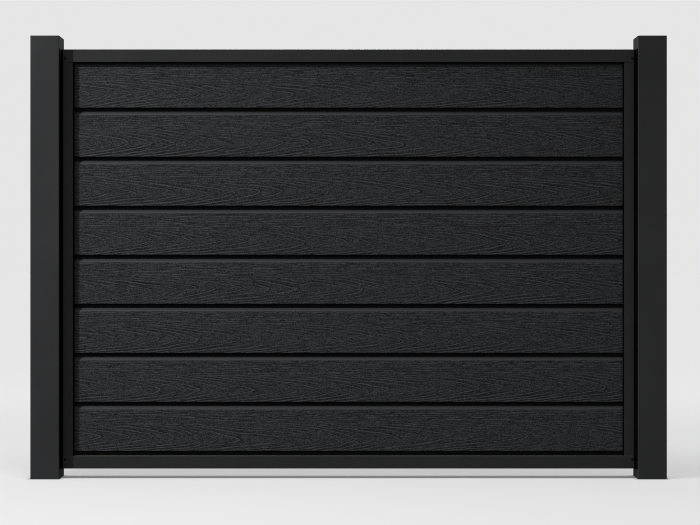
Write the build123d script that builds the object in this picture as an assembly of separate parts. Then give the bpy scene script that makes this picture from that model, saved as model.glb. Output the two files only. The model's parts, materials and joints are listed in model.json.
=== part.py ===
from build123d import *
import os

# Composite fence panel: hollow tongue and groove boards in an aluminium frame between two square posts.
# Millimetres. X runs along the fence, the front faces -Y and Z is up.
# The origin is on the ground, midway between the posts.

# Bay and heights
bay_width = 1800.0
ground_gap = 30.0
post_reveal = 40.0

# Posts: square aluminium tube with a screw port in each inner corner
post_width = 90.0
post_depth = 90.0
post_wall = 2.5
post_corner_radius = 2.5
post_inner_radius = 0.5
port_inset = 9.5
port_bore_radius = 2.6
port_wall = 2.2
port_slit = 2.4
port_web = 2.5

# Post caps: a flush plate with four tabs that plug into the tube
cap_plate = 3.0
cap_edge_radius = 1.2
cap_tab_depth = 18.0
cap_tab_length = 46.0
cap_tab_wall = 2.5
cap_tab_lead = 1.0
cap_clearance = 0.25

# Boards: hollow composite extrusions, tongue up and groove down
board_count = 8
board_cover = 153.5
board_thickness = 20.0
board_end_gap = 4.0
neck_height = 12.5
bevel_height = 11.0
tongue_thickness = 6.0
tongue_length = 12.5
groove_clearance = 0.3
board_arris_radius = 1.2
bevel_radius = 2.5
tongue_radius = 1.0
cell_count = 3
cell_wall = 4.5
cell_web = 5.5
cell_radius = 2.0

# Rails: one extrusion, a closed box with an open channel towards the boards, used both ways up
rail_height = 40.0
rail_wall = 2.0
rail_channel_depth = 25.0
rail_face_proud = 10.0
rail_lip_radius = 1.5
rail_lip_inner_radius = 1.0
rail_edge_radius = 1.5
rail_lip_clearance = 0.5
rail_notch_clearance = 0.4

# Board stack against the rails
starter_reveal = 14.0
top_cover = 12.0

# Side channels: plain U sections that slide into the rails
channel_width = 30.0
channel_wall = 2.0
channel_tip_radius = 0.8
channel_clearance = 0.2
channel_end_gap = 0.5

# Edge seals: rubber strips between a channel's flanges and the boards
seal_depth = 18.0
seal_nose = 4.5
seal_nose_radius = 2.0
seal_end_gap = 0.3

# Spacer strips: rubber strips with side flaps between a post and the frame
spacer_thickness = 8.0
spacer_recess = 3.0
spacer_flap = 2.0
spacer_flap_margin = 4.0
spacer_flap_radius = 1.0

# Weep slots through the bottom rail
weep_count = 4
weep_length = 18.0
weep_width = 4.0

# Corner screws: each rail wall to the channel flange behind it
corner_head_diameter = 7.0
corner_head_height = 2.0
corner_shank_diameter = 3.9
corner_screw_length = 8.0
corner_edge_distance = 11.5
corner_web_distance = 6.0

# Post screws: channel web through the spacer into the post wall
post_screw_count = 5
post_screw_end = 110.0
post_head_diameter = 9.0
post_head_height = 2.2
post_shank_diameter = 3.6
post_screw_length = 22.0

# Both kinds of screw
screw_hole_clearance = 0.1
screw_crown_radius = 1.5
screw_tip_length = 2.0

# Derived heights
frame_bottom = ground_gap
bottom_opening = frame_bottom + rail_height
first_board = bottom_opening + starter_reveal
stack_top = first_board + board_count * board_cover
top_opening = stack_top - top_cover
frame_top = top_opening + rail_height
post_top = frame_top + post_reveal - cap_plate

# Derived board section, with heights from the board's own lower edge
half_thickness = board_thickness / 2
half_tongue = tongue_thickness / 2
half_groove = half_tongue + groove_clearance
bevel_top = board_cover - neck_height
face_top = bevel_top - bevel_height
tongue_top = board_cover + tongue_length

# Derived widths
half_bay = bay_width / 2
rail_half_length = half_bay - spacer_thickness
rail_half_depth = half_thickness + rail_face_proud
rail_half_inside = rail_half_depth - rail_wall
channel_half_depth = rail_half_inside - channel_clearance
channel_half_inside = channel_half_depth - channel_wall
channel_edge = rail_half_length - channel_width
channel_web_face = rail_half_length - channel_wall
board_half_length = channel_web_face - board_end_gap
post_centre = half_bay + post_width / 2
slot_half_width = half_thickness + rail_lip_clearance

os.makedirs("parts", exist_ok=True)


def polygon(corners):
    return make_face(Polyline(*corners, close=True))


def both_sides(half):
    """Closes an outline from its points on the +x side, listed from one end to the other."""
    return half + [(-x, z) for x, z in reversed(half)]


def round_at(face, places, radius):
    """Rounds the corners of a face that lie at the given places."""
    spots = [Vector(x, y) for x, y in places]
    corners = [v for v in face.vertices() if any((Vector(v.X, v.Y) - s).length < 1e-6 for s in spots)]
    return fillet(corners, radius)


def mirrored(places):
    return [(side * x, y) for x, y in places for side in (-1, 1)]


def along_x(face, half_length, height, flipped=False):
    """Extrudes a Y-Z section along the fence, with its own zero at the given height."""
    up = -1 if flipped else 1
    plane = Plane(origin=(0, 0, height), x_dir=(0, 1, 0), z_dir=(up, 0, 0))
    return extrude(plane * face, amount=half_length, both=True)


def along_z(face, bottom, top):
    return extrude(Pos(0, 0, bottom) * face, amount=top - bottom)


def on_side(shape, side):
    """A piece drawn for the +X end, or its mirror image for the -X end."""
    return shape if side > 0 else mirror(shape, about=Plane.YZ)


def bore(radius, start, direction, length):
    """A round hole's cutter, or a shank, from a point along a direction."""
    return extrude(Plane(origin=start, z_dir=direction) * Circle(radius), amount=length)


def screw(head_diameter, head_height, shank_diameter, length):
    """A pan head screw along +Z with its head's seat at z = 0 and the head below."""
    head = head_diameter / 2
    shank = shank_diameter / 2
    profile = polygon([
        (0, -head_height),
        (head, -head_height),
        (head, 0),
        (shank, 0),
        (shank, length - screw_tip_length),
        (0, length),
    ])
    profile = round_at(profile, [(head, -head_height)], screw_crown_radius)
    return revolve(Plane.XZ * profile, axis=Axis.Z)


# Places that several pieces share
screw_pitch = (top_opening - bottom_opening - 2 * post_screw_end) / (post_screw_count - 1)
post_screw_heights = [bottom_opening + post_screw_end + i * screw_pitch for i in range(post_screw_count)]
corner_heights = [top_opening + corner_edge_distance, bottom_opening - corner_edge_distance]
corner_x = rail_half_length - corner_web_distance
ends = {"left": -1, "right": 1}


def post_screw_holes(start_x, end_x):
    """Cutters for the row of post screws at the +X end."""
    radius = post_shank_diameter / 2 + screw_hole_clearance
    holes = [bore(radius, (start_x, 0, z), (1, 0, 0), end_x - start_x) for z in post_screw_heights]
    return Compound(holes)


def corner_screw_holes(x, heights):
    """Cutters right through the frame for the corner screws at one end."""
    radius = corner_shank_diameter / 2 + screw_hole_clearance
    reach = 2 * rail_half_depth
    holes = [bore(radius, (x, -rail_half_depth, z), (0, 1, 0), reach) for z in heights]
    return Compound(holes)


# Posts
def post():
    inside_width = post_width - 2 * post_wall
    inside_depth = post_depth - 2 * post_wall
    section = RectangleRounded(post_width, post_depth, post_corner_radius)
    section -= RectangleRounded(inside_width, inside_depth, post_inner_radius)
    port_x = inside_width / 2 - port_inset
    port_y = inside_depth / 2 - port_inset
    port_radius = port_bore_radius + port_wall
    web_length = port_inset * 2**0.5
    ring = Circle(port_radius) + Pos(web_length / 2, 0) * Rectangle(web_length, port_web)
    bore_and_slit = Circle(port_bore_radius) + Pos(-port_radius, 0) * Rectangle(2 * port_radius, port_slit)
    for x_sign, y_sign, angle in ((1, 1, 45), (-1, 1, 135), (-1, -1, 225), (1, -1, 315)):
        turn = Location((x_sign * port_x, y_sign * port_y), angle)
        section += turn * ring
        section -= turn * bore_and_slit
    tube = Pos(post_centre, 0, 0) * along_z(section, 0, post_top)
    return tube - post_screw_holes(half_bay - post_wall, half_bay + 2 * post_wall)


def post_cap():
    outline = RectangleRounded(post_width, post_depth, post_corner_radius)
    plate = along_z(outline, post_top, post_top + cap_plate)
    cap = fillet(plate.faces().sort_by(Axis.Z)[-1].edges(), cap_edge_radius)
    tab_profile = polygon([
        (0, 0),
        (cap_tab_wall, 0),
        (cap_tab_wall, -cap_tab_depth),
        (cap_tab_lead, -cap_tab_depth),
        (0, -cap_tab_depth + cap_tab_lead),
    ])
    for quarter in range(4):
        across = post_width if quarter % 2 == 0 else post_depth
        seat = post_wall + cap_clearance - across / 2
        plane = Plane(origin=(seat, 0, post_top), x_dir=(1, 0, 0), z_dir=(0, -1, 0))
        tab = extrude(plane * tab_profile, amount=cap_tab_length / 2, both=True)
        cap += Rot(0, 0, 90 * quarter) * tab
    return Pos(post_centre, 0, 0) * cap


# Frame
def rail_section():
    """One rail, with its open edge at z = 0 and its closed box above."""
    section = polygon(both_sides([(rail_half_depth, 0), (rail_half_depth, rail_height)]))
    section = round_at(section, mirrored([(rail_half_depth, 0)]), rail_lip_radius)
    section = round_at(section, mirrored([(rail_half_depth, rail_height)]), rail_edge_radius)
    pocket = polygon(both_sides([(rail_half_inside, rail_wall), (rail_half_inside, rail_channel_depth)]))
    section -= round_at(pocket, mirrored([(rail_half_inside, rail_wall)]), rail_lip_inner_radius)
    box_bottom = rail_channel_depth + rail_wall
    box_top = rail_height - rail_wall
    section -= polygon(both_sides([(rail_half_inside, box_bottom), (rail_half_inside, box_top)]))
    section -= polygon(both_sides([(slot_half_width, 0), (slot_half_width, rail_wall)]))
    return section


def rail(open_edge, flipped):
    body = along_x(rail_section(), rail_half_length, open_edge, flipped)
    outward = -1 if flipped else 1
    notch_height = rail_wall + rail_lip_inner_radius
    notch_start = channel_edge - rail_notch_clearance
    notch_length = rail_half_length - notch_start
    from_start = (Align.MIN, Align.CENTER, Align.CENTER)
    notch = Box(notch_length, 2 * rail_half_inside, 2 * notch_height, align=from_start)
    for side in (-1, 1):
        body -= on_side(Pos(notch_start, 0, open_edge) * notch, side)
        body -= corner_screw_holes(side * corner_x, [open_edge + outward * corner_edge_distance])
    return body


def bottom_rail():
    body = rail(bottom_opening, True)
    slot_y = (slot_half_width + rail_half_inside) / 2
    cutter = extrude(SlotOverall(weep_length, weep_width), amount=rail_height)
    pitch = 2 * channel_edge / weep_count
    for i in range(weep_count):
        for y in (-slot_y, slot_y):
            body -= Pos((i + 0.5) * pitch - channel_edge, y, frame_bottom - rail_channel_depth) * cutter
    return body


def side_channel():
    bottom = bottom_opening - rail_channel_depth + channel_end_gap
    top = top_opening + rail_channel_depth - channel_end_gap
    section = Pos(channel_edge + channel_width / 2, 0) * Rectangle(channel_width, 2 * channel_half_depth)
    inside = channel_width - channel_wall
    section -= Pos(channel_edge + inside / 2, 0) * Rectangle(inside, 2 * channel_half_inside)
    tips = [(channel_edge, side * y) for y in (channel_half_depth, channel_half_inside) for side in (-1, 1)]
    body = along_z(round_at(section, tips, channel_tip_radius), bottom, top)
    body -= post_screw_holes(channel_web_face - channel_wall, half_bay)
    return body - corner_screw_holes(corner_x, corner_heights)


def edge_seal(front):
    """A strip on the inner side of one channel flange, with a rounded nose that shows beside the boards."""
    depth = channel_half_inside - half_thickness
    section = polygon([
        (channel_edge - seal_nose, half_thickness),
        (channel_edge + seal_depth, half_thickness),
        (channel_edge + seal_depth, half_thickness + depth),
        (channel_edge - seal_nose, half_thickness + depth),
    ])
    section = round_at(section, [(channel_edge - seal_nose, half_thickness + depth)], seal_nose_radius)
    strip = along_z(section, bottom_opening + seal_end_gap, top_opening - seal_end_gap)
    return mirror(strip, about=Plane.XZ) if front else strip


def spacer_strip():
    """A rubber strip: a pad behind the frame's face line and two flaps along the post."""
    pad_half = rail_half_depth - spacer_recess
    flap_half = post_depth / 2 - spacer_flap_margin
    flap_face = half_bay - spacer_flap
    section = polygon([
        (rail_half_length, -pad_half),
        (flap_face, -pad_half),
        (flap_face, -flap_half),
        (half_bay, -flap_half),
        (half_bay, flap_half),
        (flap_face, flap_half),
        (flap_face, pad_half),
        (rail_half_length, pad_half),
    ])
    section = round_at(section, [(flap_face, -flap_half), (flap_face, flap_half)], spacer_flap_radius)
    return along_z(section, frame_bottom, frame_top) - post_screw_holes(rail_half_length, half_bay)


# Boards
def board_section():
    """One board with its lower edge at z = 0: skirts around a groove, a flat face, a bevel and a tongue."""
    outline = polygon(both_sides([
        (half_groove, tongue_length),
        (half_groove, 0),
        (half_thickness, 0),
        (half_thickness, face_top),
        (half_tongue, bevel_top),
        (half_tongue, tongue_top),
    ]))
    outline = round_at(outline, mirrored([(half_thickness, 0)]), board_arris_radius)
    bevel_corners = mirrored([(half_thickness, face_top), (half_tongue, bevel_top)])
    outline = round_at(outline, bevel_corners, bevel_radius)
    outline = round_at(outline, mirrored([(half_tongue, tongue_top)]), tongue_radius)
    cells_bottom = tongue_length + cell_web
    cell_pitch = (face_top - cells_bottom + cell_web) / cell_count
    cell = RectangleRounded(board_thickness - 2 * cell_wall, cell_pitch - cell_web, cell_radius)
    for i in range(cell_count):
        outline -= Pos(0, cells_bottom + (i + 0.5) * cell_pitch - cell_web / 2) * cell
    return outline


def starter_strip():
    """The strip in the bottom rail that carries the lowest board: a foot, then a board's bevel and tongue."""
    foot = bottom_opening - rail_channel_depth - first_board
    outline = polygon(both_sides([
        (half_thickness, foot),
        (half_thickness, face_top - board_cover),
        (half_tongue, -neck_height),
        (half_tongue, tongue_length),
    ]))
    outline = round_at(outline, mirrored([(half_tongue, tongue_length)]), tongue_radius)
    return along_x(outline, board_half_length, first_board)


# Fasteners
def corner_screws():
    one = screw(corner_head_diameter, corner_head_height, corner_shank_diameter, corner_screw_length)
    screws = []
    for z in corner_heights:
        for x in (-corner_x, corner_x):
            for y_sign in (-1, 1):
                seat = Plane(origin=(x, y_sign * rail_half_depth, z), z_dir=(0, -y_sign, 0))
                screws.append(seat * one)
    return Compound(screws)


def post_screws():
    one = screw(post_head_diameter, post_head_height, post_shank_diameter, post_screw_length)
    screws = []
    for side in (-1, 1):
        for z in post_screw_heights:
            seat = Plane(origin=(side * channel_web_face, 0, z), z_dir=(side, 0, 0))
            screws.append(seat * one)
    return Compound(screws)


# Assembly
pieces = {
    "top_rail": rail(top_opening, False),
    "bottom_rail": bottom_rail(),
    "starter_strip": starter_strip(),
    "corner_screws": corner_screws(),
    "post_screws": post_screws(),
}
for name, side in ends.items():
    pieces[f"post_{name}"] = on_side(post(), side)
    pieces[f"post_cap_{name}"] = on_side(post_cap(), side)
    pieces[f"spacer_strip_{name}"] = on_side(spacer_strip(), side)
    pieces[f"side_channel_{name}"] = on_side(side_channel(), side)
    pieces[f"edge_seal_front_{name}"] = on_side(edge_seal(True), side)
    pieces[f"edge_seal_rear_{name}"] = on_side(edge_seal(False), side)
section = board_section()
for i in range(board_count):
    lower_edge = stack_top - (i + 1) * board_cover
    pieces[f"board_{i + 1}"] = along_x(section, board_half_length, lower_edge)

for name, shape in pieces.items():
    export_step(shape, f"parts/{name}.step")
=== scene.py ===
import json
import math

import bpy
import numpy as np
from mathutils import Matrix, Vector
from mathutils.geometry import tessellate_polygon


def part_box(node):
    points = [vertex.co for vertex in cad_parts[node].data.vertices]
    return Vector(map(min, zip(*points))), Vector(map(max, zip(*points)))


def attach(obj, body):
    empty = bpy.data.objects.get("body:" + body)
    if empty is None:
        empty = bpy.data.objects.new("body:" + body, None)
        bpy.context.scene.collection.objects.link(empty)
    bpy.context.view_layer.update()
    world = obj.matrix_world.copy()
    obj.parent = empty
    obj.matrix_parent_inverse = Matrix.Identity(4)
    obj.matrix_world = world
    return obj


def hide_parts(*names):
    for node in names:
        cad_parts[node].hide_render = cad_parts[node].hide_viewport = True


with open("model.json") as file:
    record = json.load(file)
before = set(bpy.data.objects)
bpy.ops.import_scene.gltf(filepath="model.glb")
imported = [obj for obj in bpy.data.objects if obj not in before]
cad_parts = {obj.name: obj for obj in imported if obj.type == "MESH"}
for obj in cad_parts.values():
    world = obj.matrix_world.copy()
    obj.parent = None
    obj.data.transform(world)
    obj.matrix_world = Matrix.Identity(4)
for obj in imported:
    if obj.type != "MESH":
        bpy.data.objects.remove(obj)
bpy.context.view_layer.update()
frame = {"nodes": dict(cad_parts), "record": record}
nodes = frame["nodes"]
scene = bpy.context.scene
print("frame loaded,", len(nodes), "nodes")


# one shader socket, with the maths that the finishes use
class Sock:
    def __init__(self, paint, socket):
        self.paint = paint
        self.socket = socket

    def maths(self, operation, first, second=0.0):
        return self.paint.node("ShaderNodeMath", {"operation": operation}, {0: first, 1: second})

    def __add__(self, other):
        return self.maths("ADD", self, other)

    def __radd__(self, other):
        return self.maths("ADD", other, self)

    def __sub__(self, other):
        return self.maths("SUBTRACT", self, other)

    def __rsub__(self, other):
        return self.maths("SUBTRACT", other, self)

    def __mul__(self, other):
        return self.maths("MULTIPLY", self, other)

    def __rmul__(self, other):
        return self.maths("MULTIPLY", other, self)

    def __truediv__(self, other):
        return self.maths("DIVIDE", self, other)

    def __rtruediv__(self, other):
        return self.maths("DIVIDE", other, self)

    def fract(self):
        return self.maths("FRACT", self)

    def size(self):
        return self.maths("ABSOLUTE", self)

    def step(self, low, high):
        sockets = {"Value": self, "From Min": low, "From Max": high}
        return self.paint.node("ShaderNodeMapRange", {"interpolation_type": "SMOOTHSTEP"}, sockets)


# a shader tree, with one method for every node
class Paint:
    def __init__(self, owner, shader="Principled BSDF"):
        owner.use_nodes = True
        self.owner = owner
        self.tree = owner.node_tree
        self.shader = self.tree.nodes[shader]

    def fill(self, node, sockets):
        for key, value in sockets.items():
            if isinstance(value, Sock):
                self.tree.links.new(value.socket, node.inputs[key])
            else:
                node.inputs[key].default_value = value

    def node(self, kind, settings=None, sockets=None, out=0):
        made = self.tree.nodes.new(kind)
        for key, value in (settings or {}).items():
            setattr(made, key, value)
        self.fill(made, sockets or {})
        return Sock(self, made.outputs[out])

    def place(self):
        return self.node("ShaderNodeTexCoord", out="Object")

    def split(self, vector):
        first = self.node("ShaderNodeSeparateXYZ", {}, {0: vector})
        return [Sock(self, socket) for socket in first.socket.node.outputs]

    def stretch(self, vector, factors):
        return self.node("ShaderNodeVectorMath", {"operation": "MULTIPLY"}, {0: vector, 1: factors})

    def noise(self, vector, scale, detail=2.0, rough=0.5):
        sockets = {"Vector": vector, "Scale": scale, "Detail": detail, "Roughness": rough}
        return self.node("ShaderNodeTexNoise", {}, sockets)

    # a colour mix has its factor at socket 0, its colours at 6 and 7 and its result at 2
    def blend(self, factor, first, second):
        return self.node("ShaderNodeMix", {"data_type": "RGBA"}, {0: factor, 6: first, 7: second}, out=2)

    def bump(self, height, strength, distance):
        sockets = {"Height": height, "Strength": strength, "Distance": distance}
        return self.node("ShaderNodeBump", {}, sockets)

    def finish(self, sockets):
        self.fill(self.shader, sockets)
        return self.owner


def newPaint(name):
    return Paint(bpy.data.materials.new(name))


# a grey of one level, slightly blue unless cool is 0
def grey(level, cool=0.06):
    return (level * (1 - 0.4 * cool), level, level * (1 + cool), 1.0)


# fine structured powder coat on the aluminium
coatLook = {
    # the posts' factor gives a paler copy of the coat, painted light, and the rails' factor a darker one,
    # painted shade
    "dark": 0.0215, "light": 0.027, "rough": 0.46, "specular": 0.32, "postPaintedLight": 1.08, "railPaintedShade": 0.78,
    # each noise by its scale, detail and roughness
    "peel": (1300.0, 2.0, 0.55), "peelStrength": 0.35, "peelHeight": 0.0004,
    "cloud": (5.0, 3.0, 0.6), "cloudFade": (0.3, 0.7), "cloudShare": 0.7, "cloudRough": 0.12,
    "speck": (2860.0, 1.0, 0.5), "speckFade": (0.56, 0.74), "speckShare": 0.3, "speckRough": 0.1,
    # the paler tone on faces that look up is partly dust and partly painted highlight
    "dustAndSheenLevel": 0.06, "dustAndSheenCool": 0.03, "dustAndSheenLeast": 0.45, "dustAndSheenCloud": 0.5, "dustAndSheenSlopes": (0.25, 0.8),
}


def powderCoat(name, shade):
    look = coatLook
    paint = newPaint(name)
    place = paint.place()
    peel = paint.noise(place, *look["peel"])
    cloud = paint.noise(place, *look["cloud"])
    speck = paint.noise(place, *look["speck"]).step(*look["speckFade"])
    tone = cloud.step(*look["cloudFade"]) * look["cloudShare"] + speck * look["speckShare"]
    colour = paint.blend(tone, grey(look["dark"] * shade), grey(look["light"] * shade))
    # a paler tone on faces that look up: partly settled dust, partly a painted highlight on the lit upper
    # edges
    facing = paint.split(paint.node("ShaderNodeNewGeometry", out="Normal"))[2]
    dust = facing.step(*look["dustAndSheenSlopes"]) * (look["dustAndSheenLeast"] + cloud * look["dustAndSheenCloud"])
    colour = paint.blend(dust, colour, grey(look["dustAndSheenLevel"], look["dustAndSheenCool"]))
    return paint.finish({
        "Base Color": colour,
        "Roughness": look["rough"] + (cloud - 0.5) * look["cloudRough"] + speck * look["speckRough"],
        "Specular IOR Level": look["specular"],
        "Normal": paint.bump(peel, look["peelStrength"], look["peelHeight"]),
    })


# matt black rubber with a faint drawn texture along the strip
rubberLook = {
    "dark": 0.0018, "dusty": 0.00396, "rough": 0.88, "roughSpread": 0.2, "specular": 0.03,
    "dust": (140.0, 4.0, 0.65), "dustFade": (0.45, 0.8),
    "drawnScales": (900.0, 900.0, 30.0), "drawnStrength": 0.3, "drawnHeight": 0.0003,
}


def blackRubber():
    look = rubberLook
    paint = newPaint("blackRubber")
    place = paint.place()
    drawn = paint.noise(paint.stretch(place, look["drawnScales"]), 1.0)
    dust = paint.noise(place, *look["dust"])
    cover = dust.step(*look["dustFade"])
    return paint.finish({
        "Base Color": paint.blend(cover, grey(look["dark"], 0.0), grey(look["dusty"], 0.0)),
        "Roughness": look["rough"] + (dust - 0.5) * look["roughSpread"],
        "Specular IOR Level": look["specular"],
        "Normal": paint.bump(drawn, look["drawnStrength"], look["drawnHeight"]),
    })


# black zinc on the screws
screwLook = {
    "dark": 0.002, "light": 0.006, "rough": 0.5, "roughSpread": 0.2, "metal": 0.4, "specular": 0.08,
    "mottle": (900.0, 3.0, 0.6), "mottleFade": (0.35, 0.7), "mottleStrength": 0.2, "mottleHeight": 0.0001,
}


def blackSteel():
    look = screwLook
    paint = newPaint("blackSteel")
    mottle = paint.noise(paint.place(), *look["mottle"])
    tone = mottle.step(*look["mottleFade"])
    return paint.finish({
        "Base Color": paint.blend(tone, grey(look["dark"]), grey(look["light"])),
        "Metallic": mottle * look["metal"],
        "Roughness": look["rough"] + (mottle - 0.5) * look["roughSpread"],
        "Specular IOR Level": look["specular"],
        "Normal": paint.bump(mottle, look["mottleStrength"], look["mottleHeight"]),
    })


# pressed wood grain: the colour follows the same rings and lines as the relief in the mesh
boardLook = {
    # bevel is paler than the face, a painted highlight on the lit bevel; neck is near black, painted shade
    # in the joints' recesses, under the skirts and in the hollow cells
    "pale": 0.07, "deep": 0.009, "middle": 0.43, "gain": 0.43, "bevel": 0.041, "neck": 0.0015,
    "rough": 0.68, "fineRough": 0.3, "neckGloss": 0.1, "specular": 0.08,
    "bumpStrength": 0.5, "bumpHeight": 0.0004, "bevelBump": 0.3,
    "ringPitch": 0.0078, "linePitch": 0.007,
    # metres from a ring's middle, where its pale line fades and its dark flanks come and go
    "paleFade": (0.0006, 0.002), "flankRise": (0.0014, 0.0026), "flankFade": (0.0034, 0.0055),
    # streaks to a metre along and across the board, and a seed
    "streaks": {
        "dash": (28.0, 170.0, 9.1), "fine": (250.0, 400.0, 5.3),
        "fibre": (70.0, 1500.0, 3.7), "patch": (4.0, 10.0, 1.2),
    },
    "streakLayers": 90.0,  # how fast a row of streaks differs from the next
    # how much each mark counts in the tone
    "shares": {
        "pale": 0.85, "flank": 0.55, "line": 0.24, "lineDash": 3.84,
        "dash": 0.9, "fine": 3.0, "fibre": 2.2, "patch": 0.2,
    },
}


def compositeBoard():
    look = boardLook
    share = look["shares"]
    paint = newPaint("compositeBoard")

    def layer(name):
        return paint.split(paint.node("ShaderNodeAttribute", {"attribute_name": name}, out="Vector"))

    along, ring, plain = layer("grain")
    strength, upper, zone = layer("marks")
    spread = paint.node("ShaderNodeAttribute", {"attribute_name": "spread"}, out="Fac")
    bevel = zone.step(0.0, 1.0)
    neck = (zone - 1).step(0.0, 1.0)

    def lines(alongScale, acrossScale, seed):
        parts = {0: along * alongScale, 1: plain * acrossScale, 2: plain * look["streakLayers"] + seed}
        return paint.noise(paint.node("ShaderNodeCombineXYZ", {}, parts), 1.0, 1.0) - 0.5

    # thin pale rings with dark flanks below, broken straight lines above
    off = (((ring / look["ringPitch"]).fract() - 0.5) * spread).size()
    pale = 1 - off.step(*look["paleFade"])
    flank = off.step(*look["flankRise"]) * (1 - off.step(*look["flankFade"]))
    rings = strength * (pale * share["pale"] - flank * share["flank"]) * (1 - upper)
    streaks = {name: lines(*scales) for name, scales in look["streaks"].items()}
    wave = ((plain / look["linePitch"]).fract() - 0.5).size() * 4 - 1
    tone = rings + wave * (share["line"] + streaks["dash"] * share["lineDash"]) * upper
    for name, streak in streaks.items():
        tone = tone + streak * share[name]
    level = (tone * look["gain"] + look["middle"]).step(0.0, 1.0)
    body = paint.blend(level, grey(look["deep"]), grey(look["pale"]))
    # the bevel is painted paler as a highlight, the neck and hidden faces near black as shade
    edge = paint.blend(neck, grey(look["bevel"]), grey(look["neck"]))
    height = tone * (1 - bevel) + streaks["fine"] * look["bevelBump"] * bevel
    return paint.finish({
        "Base Color": paint.blend(bevel, body, edge),
        "Roughness": look["rough"] + streaks["fine"] * look["fineRough"] - neck * look["neckGloss"],
        "Specular IOR Level": look["specular"],
        "Normal": paint.bump(height, look["bumpStrength"], look["bumpHeight"]),
    })


# the strip in the bottom rail, plain and painted darker than the boards, as the shade in its recess
stripLook = {
    "dark": 0.005, "light": 0.012, "rough": 0.75, "roughSpread": 0.2, "specular": 0.08,
    "drawnScales": (12.0, 500.0, 500.0), "drawnFade": (0.35, 0.65), "drawnShare": 0.7,
    "drawnStrength": 0.4, "drawnHeight": 0.0003, "speckScale": 700.0, "speckShare": 0.3,
}


def stripPaintedShade():
    look = stripLook
    paint = newPaint("stripPaintedShade")
    place = paint.place()
    drawn = paint.noise(paint.stretch(place, look["drawnScales"]), 1.0, 3.0)
    speck = paint.noise(place, look["speckScale"])
    tone = drawn.step(*look["drawnFade"]) * look["drawnShare"] + speck * look["speckShare"]
    return paint.finish({
        "Base Color": paint.blend(tone, grey(look["dark"]), grey(look["light"])),
        "Roughness": look["rough"] + (speck - 0.5) * look["roughSpread"],
        "Specular IOR Level": look["specular"],
        "Normal": paint.bump(drawn, look["drawnStrength"], look["drawnHeight"]),
    })


finishes = {
    "powder_coat": powderCoat("postCoatPaintedLight", coatLook["postPaintedLight"]),
    "black_rubber": blackRubber(),
    "black_steel": blackSteel(),
    "composite_board": compositeBoard(),
}
for part in frame["record"]["subparts"]:
    mesh = nodes[part["node"]].data
    mesh.materials.clear()
    mesh.materials.append(finishes[part["material_slot"]])
# the rails and channels get a darker copy of the coat, painted shade, and the posts a paler one, painted
# light
railCoatPaintedShade = powderCoat("railCoatPaintedShade", coatLook["railPaintedShade"])
for name in ("top_rail", "bottom_rail", "side_channel_left", "side_channel_right"):
    nodes[name].data.materials[0] = railCoatPaintedShade
nodes["starter_strip"].data.materials[0] = stripPaintedShade()
print("finishes set on the frame's nodes")


def softStep(low, high, value):
    t = np.clip((value - low) / (high - low), 0, 1)
    return t * t * (3 - 2 * t)


# seeded value noise for the relief, from -1 to 1
noiseSize = 256
noiseTable = np.random.default_rng(41).random((noiseSize, noiseSize))


def softNoise(u, v, seed):
    u, v = np.broadcast_arrays(u + 17.3 * seed, v + 31.7 * seed)
    cellU = np.floor(u).astype(int)
    cellV = np.floor(v).astype(int)
    partU = softStep(0, 1, u - cellU)
    partV = softStep(0, 1, v - cellV)

    def corner(right, up):
        return noiseTable[(cellU + right) % noiseSize, (cellV + up) % noiseSize]

    low = corner(0, 0) * (1 - partU) + corner(1, 0) * partU
    high = corner(0, 1) * (1 - partU) + corner(1, 1) * partU
    return 2 * (low * (1 - partV) + high * partV) - 1


# the grain's layout on a board: lengths in metres, heights from the board's lower edge
grainLook = {
    "shift": 2.9, "axis": 0.042, "axisWander": 0.007, "axisLength": 0.31,
    "round": 0.08, "steep": 1.9, "point": 0.25, "pointRound": 0.003,
    "slope": 0.11, "drift": 0.05, "driftLength": 0.23, "band": 0.0022, "bandWidth": 0.021, "bandLength": 0.6,
    "straight": (0.062, 0.096), "dashLength": 0.028, "dashFade": (-0.35, 0.45),
    "calmFade": (-0.75, 0.3), "calmLeast": 0.4, "brokenFade": (-0.5, 0.4), "brokenLeast": 0.45,
    "furrow": 0.0016, "depth": 0.0003, "fade": 0.003, "faceMargin": 0.001,
    # wanders over the face: how far, over what length and height, and what is added to the seed
    "driftFine": (0.012, 0.07, 0.05, 4), "ringFine": (0.0011, 0.05, 0.009, 5),
    "lineWander": (0.003, 0.26, 0.03, 7), "lineFine": (0.0016, 0.06, 0.012, 8),
    "upperWander": (0.012, 0.14, 0.05, 9),
    "calm": (1.0, 0.17, 0.03, 10), "broken": (1.0, 0.033, 0.007, 11),
}


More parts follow.
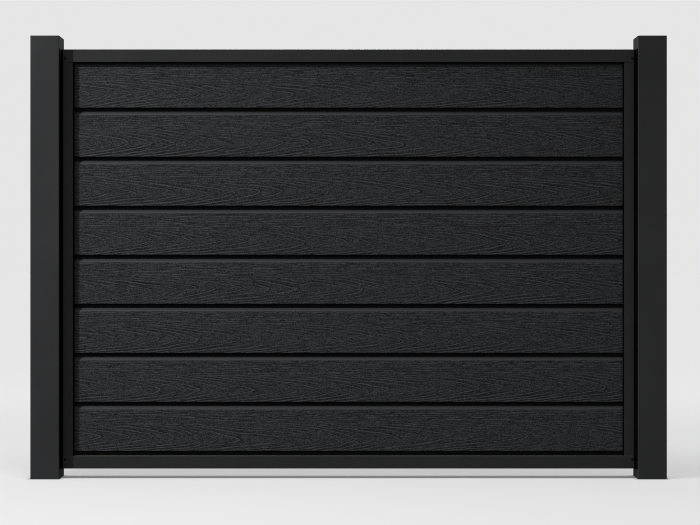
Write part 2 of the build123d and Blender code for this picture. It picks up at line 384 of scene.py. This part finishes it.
def grainField(x, z, seed):
    look = grainLook
    ringPitch = boardLook["ringPitch"]
    linePitch = boardLook["linePitch"]
    u = x + look["shift"] * seed

    def wander(name):
        reach, length, height, added = look[name]
        return reach * softNoise(u / length, z / height, seed + added)

    def furrow(across, pitch, wide):
        part = across / pitch
        part = (part - np.floor(part) - 0.5) * wide
        return np.exp(-(part / look["furrow"])**2)

    # rings bow away from an axis that wanders along the board's lower half
    axis = look["axis"] + look["axisWander"] * softNoise(u / look["axisLength"], 0.5, seed)
    away = z - axis
    far = np.sqrt(away**2 + look["round"]**2)
    tip = np.sqrt(away**2 + look["pointRound"]**2)
    bow = look["steep"] * (far - look["round"]) + look["point"] * tip
    climb = look["steep"] * away / far + look["point"] * away / tip
    spread = ringPitch / np.sqrt(climb**2 + look["slope"]**2)
    drift = look["drift"] * softNoise(u / look["driftLength"], 0.3, seed + 3) + wander("driftFine")
    ring = look["slope"] * (u + drift) + bow + wander("ringFine")
    ring = ring + look["band"] * softNoise(ring / look["bandWidth"], u / look["bandLength"], seed + 6)
    # nearly straight lines on its upper half
    plain = z + wander("lineWander") + wander("lineFine")
    upper = softStep(*look["straight"], z + wander("upperWander"))
    # both kinds fade in places
    strength = 1.0
    for name in ("calm", "broken"):
        least = look[name + "Least"]
        strength = strength * (least + (1 - least) * softStep(*look[name + "Fade"], wander(name)))
    dashes = softStep(*look["dashFade"], softNoise(u / look["dashLength"], plain / linePitch, seed + 12))
    curved = furrow(ring, ringPitch, spread) * strength
    straight = furrow(plain, linePitch, linePitch) * dashes
    relief = curved * (1 - upper) + straight * upper
    return u, ring, plain, strength, upper, spread, relief


# a board's section, from its own lower edge; the outer sizes come from the frame
boardShape = {
    "tongue": 0.006, "tongueLength": 0.0125, "groovePlay": 0.0003, "neck": 0.0125, "bevel": 0.011,
    "arris": 0.0012, "bevelRound": 0.0025, "tongueRound": 0.001,
    "cells": 3, "cellWall": 0.0045, "cellWeb": 0.0055, "cellRound": 0.002,
    "frontRows": 88, "rearRows": 62, "columns": 300, "sharpAngle": 38,
    # where the tone changes to the bevel's painted highlight and to the painted shade of the neck and
    # skirts, from the bevel's lower and upper edges and from the board's lower edge
    "bevelHighlightTone": (-0.001, 0.001), "neckShadeTone": (-0.005, 0.0028), "skirtShadeTone": 0.00048,
}


# points on the arc that rounds off a corner
def rounded(before, corner, after, radius, steps):
    corner = Vector(corner)
    one = (Vector(before) - corner).normalized()
    two = (Vector(after) - corner).normalized()
    half = one.angle(two) / 2
    reach = radius / math.tan(half)
    centre = corner + (one + two).normalized() * radius / math.sin(half)
    start = corner + one * reach - centre
    end = corner + two * reach - centre
    turn = start.angle(end)
    points = []
    for i in range(steps + 1):
        t = i / steps
        blend = (start * math.sin((1 - t) * turn) + end * math.sin(t * turn)) / math.sin(turn)
        points.append(tuple(centre + blend))
    return points


# half of the section's outline, from the groove round the face to the tongue's tip
def boardSide(cover, half, rows):
    shape = boardShape
    tongue = shape["tongue"] / 2
    groove = tongue + shape["groovePlay"]
    bevelTop = cover - shape["neck"]
    faceTop = bevelTop - shape["bevel"]
    top = cover + shape["tongueLength"]
    points = [(groove, shape["tongueLength"]), (groove, 0.0)]
    points += rounded((groove, 0), (half, 0), (half, faceTop), shape["arris"], 3)
    shoulder = rounded((half, 0), (half, faceTop), (tongue, bevelTop), shape["bevelRound"], 4)
    low = points[-1][1]
    high = shoulder[0][1]
    points += [(half, low + (high - low) * i / rows) for i in range(1, rows)]
    points += shoulder
    points += rounded((half, faceTop), (tongue, bevelTop), (tongue, top), shape["bevelRound"], 4)
    points += rounded((tongue, bevelTop), (tongue, top), (0, top), shape["tongueRound"], 2)
    return points


def boardCells(cover, half):
    shape = boardShape
    faceTop = cover - shape["neck"] - shape["bevel"]
    low = shape["tongueLength"] + shape["cellWeb"]
    pitch = (faceTop - low + shape["cellWeb"]) / shape["cells"]
    wide = half - shape["cellWall"]
    cells = []
    for i in range(shape["cells"]):
        a = low + i * pitch
        b = a + pitch - shape["cellWeb"]
        corners = [(-wide, a), (wide, a), (wide, b), (-wide, b)]
        loop = []
        for k in range(4):
            loop += rounded(corners[k - 1], corners[k], corners[(k + 1) % 4], shape["cellRound"], 3)
        cells.append(loop)
    return cells


# one side of the outer skin: its points and what the finish reads at each of them
def boardSkin(xs, side, cover, seed):
    shape = boardShape
    bevelTop = cover - shape["neck"]
    faceTop = bevelTop - shape["bevel"]
    x = xs[:, None]
    y, z = side.T[:, None, :]
    u, ring, plain, strength, upper, spread, relief = grainField(x, z, seed)
    # the relief runs out towards the face's two edges
    relief = relief * softStep(0, grainLook["fade"], z - shape["arris"])
    relief = relief * softStep(0, grainLook["fade"], faceTop - grainLook["faceMargin"] - z)
    # 0 on the face, 1 on the bevel, painted as a highlight, 2 on the neck and under the skirts, painted as
    # shade
    zone = softStep(*shape["bevelHighlightTone"], z - faceTop) + softStep(*shape["neckShadeTone"], z - bevelTop)
    zone = zone + 2 * (z < shape["skirtShadeTone"])

    def stack(*parts):
        return np.stack(np.broadcast_arrays(*parts), axis=2)

    place = stack(x, y - np.sign(y) * relief * grainLook["depth"], z)
    return place, stack(u, ring, plain), stack(strength, upper, zone), spread


# a mesh takes the place of a node of the frame
def addPiece(mesh, name, slot, sharpAngle):
    mesh.shade_smooth()
    mesh.set_sharp_from_angle(angle=math.radians(sharpAngle))
    mesh.materials.append(finishes[slot])
    piece = bpy.data.objects.new(mesh.name, mesh)
    scene.collection.objects.link(piece)
    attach(piece, "root")
    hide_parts(name)


def makeBoard(number, name, cover):
    low, high = (Vector(corner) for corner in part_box(name))
    half = (high.y - low.y) / 2
    middle = (high.y + low.y) / 2
    xs = np.linspace(low.x, high.x, boardShape["columns"])
    front = [(-y, z) for y, z in boardSide(cover, half, boardShape["frontRows"])]
    rear = boardSide(cover, half, boardShape["rearRows"])[::-1]
    loop = front + rear
    skins = [boardSkin(xs, np.array(side), cover, number * 2 + k) for k, side in enumerate((front, rear))]
    place, grain, marks, spread = (np.concatenate(parts, axis=1) for parts in zip(*skins))
    count, turns = spread.shape
    i = np.arange(count - 1)[:, None] * turns
    j = np.arange(turns)[None, :]
    k = (j + 1) % turns
    faces = np.stack([i + j, i + turns + j, i + turns + k, i + k], axis=2).reshape(-1, 4).tolist()
    verts = (place + (0.0, middle, low.z)).reshape(-1, 3).tolist()
    grain = grain.reshape(-1, 3).tolist()
    marks = marks.reshape(-1, 3).tolist()
    # the hollow cells run through, and both ends are closed around them
    cells = boardCells(cover, half)
    rims = [list(range(turns)), list(range((count - 1) * turns, count * turns))]
    for cell in cells:
        for rim, x in zip(rims, (low.x, high.x)):
            rim.extend(range(len(verts), len(verts) + len(cell)))
            verts += [(x, middle + y, low.z + z) for y, z in cell]
            grain += [(x, z, z) for y, z in cell]
            # the hollow's walls are painted near black, as shade
            marks += [(0.0, 1.0, 2.0)] * len(cell)  # no rings, and as dark as the neck
        first, second = (rim[-len(cell):] for rim in rims)
        for a in range(len(cell)):
            b = (a + 1) % len(cell)
            faces.append((first[b], second[b], second[a], first[a]))
    outlines = [[Vector((y, z, 0)) for y, z in points] for points in [loop] + cells]
    for triangle in tessellate_polygon(outlines):
        faces.append(tuple(rims[0][p] for p in triangle))
        faces.append(tuple(rims[1][p] for p in reversed(triangle)))
    mesh = bpy.data.meshes.new(name + "_grained")
    mesh.from_pydata(verts, [], faces)
    for label, values in (("grain", grain), ("marks", marks)):
        layer = mesh.attributes.new(label, "FLOAT_VECTOR", "POINT")
        layer.data.foreach_set("vector", np.array(values, dtype=np.float32).ravel())
    layer = mesh.attributes.new("spread", "FLOAT", "POINT")
    layer.data.foreach_set("value", np.append(spread, np.ones(len(verts) - spread.size)).astype(np.float32))
    addPiece(mesh, name, "composite_board", boardShape["sharpAngle"])


boardNames = sorted((n for n in nodes if n.startswith("board_")), key=lambda n: -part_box(n)[0][2])
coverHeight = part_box(boardNames[0])[0][2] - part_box(boardNames[1])[0][2]
for number, name in enumerate(boardNames):
    makeBoard(number, name, coverHeight)
print("boards made,", len(boardNames))


# pan heads with a cross recess, eight in one mesh; their places come from the frame
screwShape = {
    "head": 0.0035, "height": 0.002, "crown": 0.0015, "shank": 0.00195, "length": 0.008, "tip": 0.002,
    "arm": 0.0021, "slot": 0.00055, "sink": 0.0011, "shallower": 0.55, "soft": 0.0001,
    "rings": 20, "crownRings": 8, "sides": 48, "sharpAngle": 35,
}


# radius and height of each ring of points, from the head's middle to the shank's end
def screwRings():
    shape = screwShape
    flat = shape["head"] - shape["crown"]
    profile = [(flat * i / shape["rings"], shape["height"]) for i in range(1, shape["rings"] + 1)]
    for i in range(1, shape["crownRings"] + 1):
        turn = math.pi / 2 * i / shape["crownRings"]
        drop = shape["crown"] * (1 - math.cos(turn))
        profile.append((flat + shape["crown"] * math.sin(turn), shape["height"] - drop))
    profile += [(shape["head"], 0.0), (shape["shank"], 0.0)]
    profile.append((shape["shank"], shape["tip"] - shape["length"]))
    return profile


# height of a point once the cross is sunk into the head's flat
def sunk(x, z, height):
    shape = screwShape
    if height < shape["height"] - 1e-9:
        return height
    soft = shape["soft"]
    deepest = 0.0
    for near, far in ((abs(x), abs(z)), (abs(z), abs(x))):
        inside = softStep(-soft, soft, shape["slot"] - near) * softStep(-soft, soft, shape["arm"] - far)
        deepest = max(deepest, float(inside) * (1 - shape["shallower"] * min(far / shape["arm"], 1.0)))
    return height - shape["sink"] * deepest


def makeScrews(name):
    shape = screwShape
    low, high = (Vector(corner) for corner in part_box(name))
    profile = screwRings()
    sides = shape["sides"]
    verts = []
    faces = []

    def addScrew(x, seat, z, face):
        first = len(verts)
        verts.append((x, seat + face * sunk(0.0, 0.0, shape["height"]), z))
        for radius, height in profile:
            for s in range(sides):
                dx = radius * math.cos(2 * math.pi * s / sides)
                dz = radius * math.sin(2 * math.pi * s / sides)
                verts.append((x + dx, seat + face * sunk(dx, dz, height), z + dz))
        verts.append((x, seat - face * shape["length"], z))
        last = len(verts) - 1
        for s in range(sides):
            t = (s + 1) % sides
            made = [(first, first + 1 + s, first + 1 + t)]
            for r in range(len(profile) - 1):
                a = first + 1 + r * sides
                made.append((a + s, a + sides + s, a + sides + t, a + t))
            made.append((last - sides + s, last, last - sides + t))
            faces.extend(made if face < 0 else [tuple(reversed(corners)) for corners in made])

    for z in (low.z + shape["head"], high.z - shape["head"]):
        for x in (low.x + shape["head"], high.x - shape["head"]):
            addScrew(x, low.y + shape["height"], z, -1)
            addScrew(x, high.y - shape["height"], z, 1)
    mesh = bpy.data.meshes.new(name + "_cut")
    mesh.from_pydata(verts, [], faces)
    addPiece(mesh, name, "black_steel", shape["sharpAngle"])


makeScrews("corner_screws")
print("screw heads made")


# a pale floor that glows by itself and gives the object no light back
floorLook = {
    "rings": (1.5, 4.0, 10.0, 30.0, 90.0), "sides": 48,
    "albedo": 0.5, "mottle": 0.01, "mottleScale": 2.0, "rough": 0.9,
    "near": 0.44, "far": 0.586, "glowRise": (0.8, 4.0), "under": 0.1,
    # the shade under the panel: its middle and half depth, and where it ends beside the posts' outer sides
    "shadeMiddle": 0.01, "shadeDepth": (0.012, 0.05), "shadeEnds": (-0.06, 0.01),
    # the painted contact shadow, from the sides of a foot
    "contactShadowAcross": (-0.005, 0.017), "contactShadowDeep": (-0.003, 0.021),
}


def floorFinish():
    look = floorLook
    low, high = (Vector(corner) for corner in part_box("post_right"))
    footMiddle = (low.x + high.x) / 2
    footHalf = (high - low) / 2
    paint = newPaint("studioFloor")
    place = paint.place()
    across, deep = paint.split(place)[:2]
    away = paint.node("ShaderNodeVectorMath", {"operation": "LENGTH"}, {0: place}, out="Value")
    tone = paint.noise(place, look["mottleScale"])
    glow = paint.blend(away.step(*look["glowRise"]), grey(look["near"], 0.0), grey(look["far"], 0.0))
    # no glow under the panel, where no light would reach
    clear = (deep - look["shadeMiddle"]).size().step(*look["shadeDepth"])
    ends = across.size().step(*(high.x + gap for gap in look["shadeEnds"]))
    clear = clear + (1 - clear) * ends
    # and a thin painted contact shadow round the feet
    beside = (across.size() - footMiddle).size().step(*(footHalf.x + gap for gap in look["contactShadowAcross"]))
    before = deep.size().step(*(footHalf.y + gap for gap in look["contactShadowDeep"]))
    clear = clear * (beside + (1 - beside) * before)
    glow = paint.blend(clear, grey(look["under"], 0.0), glow)
    lowest, highest = (grey(look["albedo"] + gap, 0.0) for gap in (-look["mottle"], look["mottle"]))
    return paint.finish({
        "Base Color": paint.blend(tone, lowest, highest),
        "Roughness": look["rough"],
        "Specular IOR Level": 0.0,
        "Emission Color": glow,
        "Emission Strength": 1.0,
    })


def makeFloor():
    rings = floorLook["rings"]
    sides = floorLook["sides"]
    verts = [(0.0, 0.0, 0.0)]
    faces = []
    for radius in rings:
        for a in range(sides):
            turn = 2 * math.pi * a / sides
            verts.append((radius * math.cos(turn), radius * math.sin(turn), 0.0))
    for a in range(sides):
        b = (a + 1) % sides
        faces.append((0, 1 + a, 1 + b))
        for r in range(len(rings) - 1):
            inner = 1 + r * sides
            outer = inner + sides
            faces.append((inner + a, outer + a, outer + b, inner + b))
    mesh = bpy.data.meshes.new("studioFloor")
    mesh.from_pydata(verts, [], faces)
    mesh.materials.append(floorFinish())
    floor = bpy.data.objects.new("studioFloor", mesh)
    scene.collection.objects.link(floor)
    floor.visible_diffuse = False
    floor.visible_glossy = False
    return floor


floor = makeFloor()

# soft fill from all round, and a bright surround that only the camera sees
domeLook = {
    "surround": 0.787, "above": 0.45, "below": 0.19, "rise": (-0.35, 0.5),
    "behind": 0.45, "behindLow": 0.15, "behindRise": (-0.25, 0.25), "behindDepth": (0.3, 0.9),
}


def makeDome():
    look = domeLook
    scene.world = bpy.data.worlds.new("studio")
    dome = Paint(scene.world, "Background")
    depth, rise = dome.split(dome.node("ShaderNodeTexCoord", out="Generated"))[1:]
    fill = rise.step(*look["rise"]) * (look["above"] - look["below"]) + look["below"]
    # dimmer at the back, most of all low down, where the posts' inner sides mirror it
    back = rise.step(*look["behindRise"]) * (look["behind"] - look["behindLow"]) + look["behindLow"]
    fill = fill * (1 - depth.step(*look["behindDepth"]) * (1 - back))
    seen = dome.node("ShaderNodeLightPath", out="Is Camera Ray")
    dome.finish({"Color": fill * (1 - seen) + seen * look["surround"], "Strength": 1.0})


makeDome()


# a lamp that lights the object alone, or the floor alone
def addLamp(name, kind, look, onFloor):
    data = bpy.data.lights.new(name, kind)
    for key, value in look["settings"].items():
        setattr(data, key, value)
    lamp = bpy.data.objects.new(name, data)
    scene.collection.objects.link(lamp)
    lamp.location = look["place"]
    lamp.rotation_euler = (Vector(look["aim"]) - lamp.location).to_track_quat("-Z", "Y").to_euler()
    group = bpy.data.collections.new(name + "Group")
    group.objects.link(floor)
    group.collection_objects[0].light_linking.link_state = "INCLUDE" if onFloor else "EXCLUDE"
    lamp.light_linking.receiver_collection = group


# crisp key from high on the left, fading to the right
keyLook = {
    "place": (-4.85, -2.41, 5.1), "aim": (-1.75, 0.0, 1.1),
    "settings": {
        "energy": 2300.0, "spot_size": math.radians(49), "spot_blend": 1.0, "shadow_soft_size": 0.12,
    },
}
addLamp("keyLamp", "SPOT", keyLook, False)
# a broad soft lamp behind, for the rear faces
rearLook = {
    "place": (0.2, 2.6, 4.4), "aim": (0.0, 0.0, 0.6),
    "settings": {"energy": 170.0, "shape": "DISK", "size": 1.6},
}
addLamp("rearLamp", "AREA", rearLook, False)
# overhead lamp for the floor's own shading
overheadLook = {
    "place": (-0.9, -0.9, 3.4), "aim": (-0.2, -0.9, 0.0),
    "settings": {"energy": 52.0, "shape": "DISK", "size": 1.4},
}
addLamp("floorLamp", "AREA", overheadLook, True)
print("stage and lamps set")

# camera: level, straight on, at the photograph's distance
cameraLook = {"place": (0.0044, -5.238, 0.674), "tilt": 90.0, "lens": 85.9, "sensor": 36.0, "clipEnd": 300.0}
cameraData = bpy.data.cameras.new("camera")
cameraData.sensor_fit = "HORIZONTAL"
cameraData.sensor_width = cameraLook["sensor"]
cameraData.lens = cameraLook["lens"]
cameraData.clip_end = cameraLook["clipEnd"]
camera = bpy.data.objects.new("camera", cameraData)
scene.collection.objects.link(camera)
camera.location = cameraLook["place"]
camera.rotation_euler = (math.radians(cameraLook["tilt"]), 0.0, 0.0)
scene.camera = camera
scene.view_settings.view_transform = "Standard"
scene.cycles.filter_width = 1.0  # a narrow pixel filter keeps the grain crisp
print("camera set")
